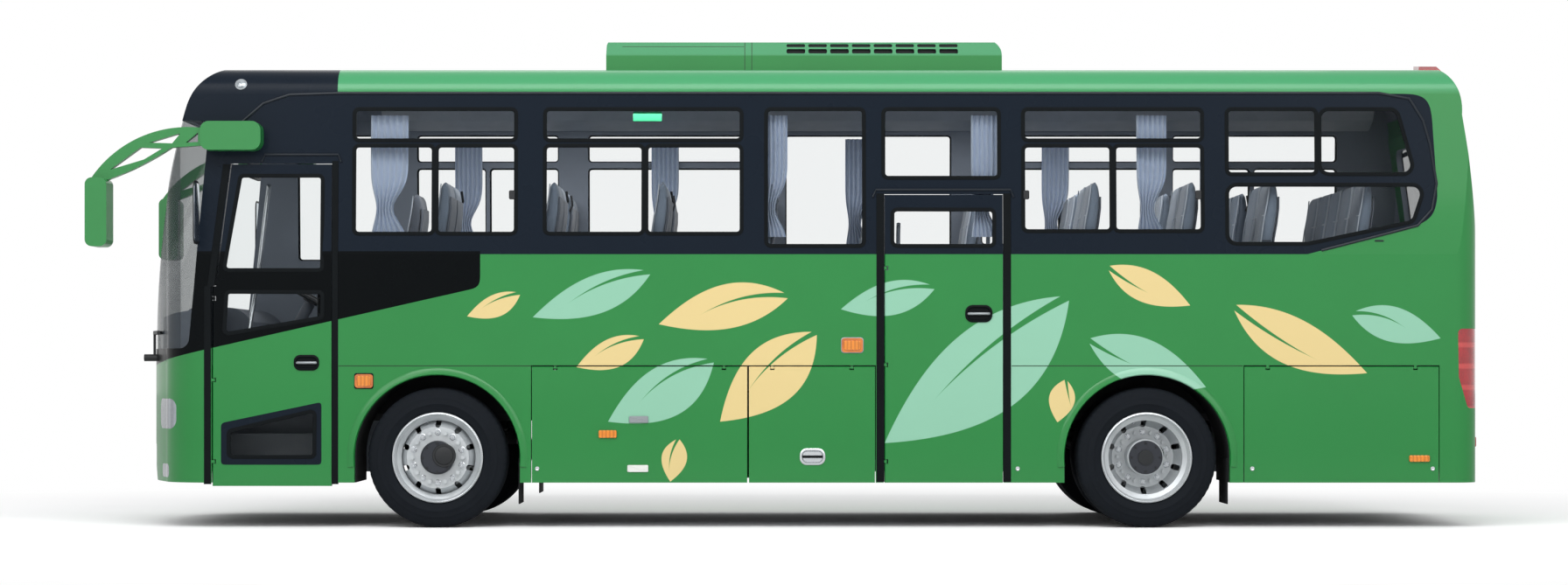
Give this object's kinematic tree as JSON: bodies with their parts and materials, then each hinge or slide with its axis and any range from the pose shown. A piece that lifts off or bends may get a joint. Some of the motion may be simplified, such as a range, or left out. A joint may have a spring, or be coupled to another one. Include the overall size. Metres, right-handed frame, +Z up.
{
  "type": "electric coach",
  "caption": "High-floor battery coach with swinging side doors, lift-up side flaps, steered front wheels, twin rear wheels and a roof climate pod.",
  "frame": {"origin": "on the ground under the middle of the overall box, mirrors included", "axes": "-X is the front, +X the rear, -Y the left side with the passenger doors, +Z up"},
  "size_m": [9.258, 2.84, 3.281],
  "materials": {
    "chassis_frame": "satin black chassis paint",
    "floor_deck": "grey floor and tub sheet",
    "left_wall": "glossy green coach paint with black window band",
    "right_wall": "glossy green coach paint with black window band",
    "roof_shell": "glossy green coach paint",
    "front_mask": "glossy green and black moulded mask",
    "rear_panel": "glossy green coach paint",
    "windscreen": "clear laminated glass",
    "window_glass": "light grey tinted glass",
    "roof_aircon": "green moulded pod",
    "headlamps": "clear lamp units",
    "signal_lamps": "red and amber lenses",
    "mirrors": "green moulded arms and heads",
    "wipers": "black arms and blades",
    "dashboard": "dark grey moulded dash",
    "driver_chair": "dark woven cloth",
    "passenger_seats": "grey blue woven cloth",
    "ceiling_racks": "grey duct moulding",
    "front_axle": "black forged steel",
    "rear_axle": "black cast housing",
    "battery_packs": "dark sealed cases",
    "wheel_arches": "black liner",
    "mudflaps": "black rubber sheet",
    "front_door": "glossy green and black paint",
    "mid_door": "glossy green and black paint",
    "front_door_glass": "clear glass",
    "mid_door_glass": "light grey tinted glass",
    "left_flap_front": "glossy green paint",
    "left_flap_centre": "glossy green paint",
    "left_flap_rear": "glossy green paint",
    "right_flap_front": "glossy green paint",
    "right_flap_rear": "glossy green paint",
    "rear_hood": "glossy green paint",
    "knuckle_left": "forged steel",
    "knuckle_right": "forged steel",
    "track_rod": "steel tube",
    "steering_wheel": "black grained rim",
    "tyre_front_left": "black tyre rubber",
    "rim_front_left": "silver wheel paint",
    "tyre_rear_left": "black tyre rubber",
    "rim_rear_left": "silver wheel paint",
    "tyre_front_right": "black tyre rubber",
    "rim_front_right": "silver wheel paint",
    "tyre_rear_right": "black tyre rubber",
    "rim_rear_right": "silver wheel paint"
  },
  "bodies": {
    "coach": {"chassis_frame": "chassis_frame", "floor_deck": "floor_deck", "left_wall": "left_wall", "right_wall": "right_wall", "roof_shell": "roof_shell", "front_mask": "front_mask", "rear_panel": "rear_panel", "windscreen": "windscreen", "window_glass": "window_glass", "roof_aircon": "roof_aircon", "headlamps": "headlamps", "signal_lamps": "signal_lamps", "mirrors": "mirrors", "wipers": "wipers", "dashboard": "dashboard", "driver_chair": "driver_chair", "passenger_seats": "passenger_seats", "ceiling_racks": "ceiling_racks", "front_axle": "front_axle", "rear_axle": "rear_axle", "battery_packs": "battery_packs", "wheel_arches": "wheel_arches", "mudflaps": "mudflaps"},
    "front_door_leaf": {"front_door": "front_door", "front_door_glass": "front_door_glass"},
    "mid_door_leaf": {"mid_door": "mid_door", "mid_door_glass": "mid_door_glass"},
    "left_flap_front_body": {"left_flap_front": "left_flap_front"},
    "left_flap_centre_body": {"left_flap_centre": "left_flap_centre"},
    "left_flap_rear_body": {"left_flap_rear": "left_flap_rear"},
    "right_flap_front_body": {"right_flap_front": "right_flap_front"},
    "right_flap_rear_body": {"right_flap_rear": "right_flap_rear"},
    "rear_hood_body": {"rear_hood": "rear_hood"},
    "steer_left_body": {"knuckle_left": "knuckle_left"},
    "wheel_front_left": {"tyre_front_left": "tyre_front_left", "rim_front_left": "rim_front_left"},
    "wheel_rear_left": {"tyre_rear_left": "tyre_rear_left", "rim_rear_left": "rim_rear_left"},
    "steer_right_body": {"knuckle_right": "knuckle_right"},
    "wheel_front_right": {"tyre_front_right": "tyre_front_right", "rim_front_right": "rim_front_right"},
    "wheel_rear_right": {"tyre_rear_right": "tyre_rear_right", "rim_rear_right": "rim_rear_right"},
    "track_rod_body": {"track_rod": "track_rod"},
    "steering_wheel_body": {"steering_wheel": "steering_wheel"}
  },
  "joints": [
    {"name": "front_door_swing", "type": "hinge", "parent": "coach", "child": "front_door_leaf", "pos_m": [-3.815, -1.216, 1.2], "axis": [0, 0, -1], "range_deg": [0, 88]},
    {"name": "mid_door_swing", "type": "hinge", "parent": "coach", "child": "mid_door_leaf", "pos_m": [0.631, -1.216, 1.2], "axis": [0, 0, -1], "range_deg": [0, 88]},
    {"name": "left_flap_front_lift", "type": "hinge", "parent": "coach", "child": "left_flap_front_body", "pos_m": [-0.999, -1.216, 1.06], "axis": [-1, 0, 0], "range_deg": [0, 95]},
    {"name": "left_flap_centre_lift", "type": "hinge", "parent": "coach", "child": "left_flap_centre_body", "pos_m": [0.1415, -1.216, 1.06], "axis": [-1, 0, 0], "range_deg": [0, 95]},
    {"name": "left_flap_rear_lift", "type": "hinge", "parent": "coach", "child": "left_flap_rear_body", "pos_m": [3.6445, -1.216, 1.06], "axis": [-1, 0, 0], "range_deg": [0, 95]},
    {"name": "right_flap_front_lift", "type": "hinge", "parent": "coach", "child": "right_flap_front_body", "pos_m": [-0.5765, 1.216, 1.06], "axis": [1, 0, 0], "range_deg": [0, 95]},
    {"name": "right_flap_rear_lift", "type": "hinge", "parent": "coach", "child": "right_flap_rear_body", "pos_m": [3.6445, 1.216, 1.06], "axis": [1, 0, 0], "range_deg": [0, 95]},
    {"name": "rear_hood_lift", "type": "hinge", "parent": "coach", "child": "rear_hood_body", "pos_m": [4.594, 0, 1.483], "axis": [0, -1, 0], "range_deg": [0, 80]},
    {"name": "steer_left", "type": "hinge", "parent": "coach", "child": "steer_left_body", "pos_m": [-2.338, -0.93, 0.465], "axis": [0, 0, 1], "range_deg": [-38, 38]},
    {"name": "steer_right", "type": "hinge", "parent": "coach", "child": "steer_right_body", "pos_m": [-2.338, 0.93, 0.465], "axis": [0, 0, 1], "range_deg": [-38, 38]},
    {"name": "track_rod_pivot", "type": "hinge", "parent": "steer_left_body", "child": "track_rod_body", "pos_m": [-2.15, -0.93, 0.35], "axis": [0, 0, 1], "range_deg": [-38, 38]},
    {"name": "wheel_front_left_spin", "type": "hinge", "parent": "steer_left_body", "child": "wheel_front_left", "pos_m": [-2.338, -1.08, 0.465], "axis": [0, 1, 0], "continuous": true},
    {"name": "wheel_rear_left_spin", "type": "hinge", "parent": "coach", "child": "wheel_rear_left", "pos_m": [2.359, -1.08, 0.465], "axis": [0, 1, 0], "continuous": true},
    {"name": "wheel_front_right_spin", "type": "hinge", "parent": "steer_right_body", "child": "wheel_front_right", "pos_m": [-2.338, 1.08, 0.465], "axis": [0, 1, 0], "continuous": true},
    {"name": "wheel_rear_right_spin", "type": "hinge", "parent": "coach", "child": "wheel_rear_right", "pos_m": [2.359, 1.08, 0.465], "axis": [0, 1, 0], "continuous": true},
    {"name": "steering_wheel_turn", "type": "hinge", "parent": "coach", "child": "steering_wheel_body", "pos_m": [-3.42, 0.62, 1.56], "axis": [0.4695, 0, 0.8829], "range_deg": [-720, 720]}
  ],
  "couplings": [
    {"joint": "steer_right", "follows": "steer_left", "ratio": 1},
    {"joint": "track_rod_pivot", "follows": "steer_left", "ratio": -1},
    {"joint": "steering_wheel_turn", "follows": "steer_left", "ratio": 18}
  ]
}
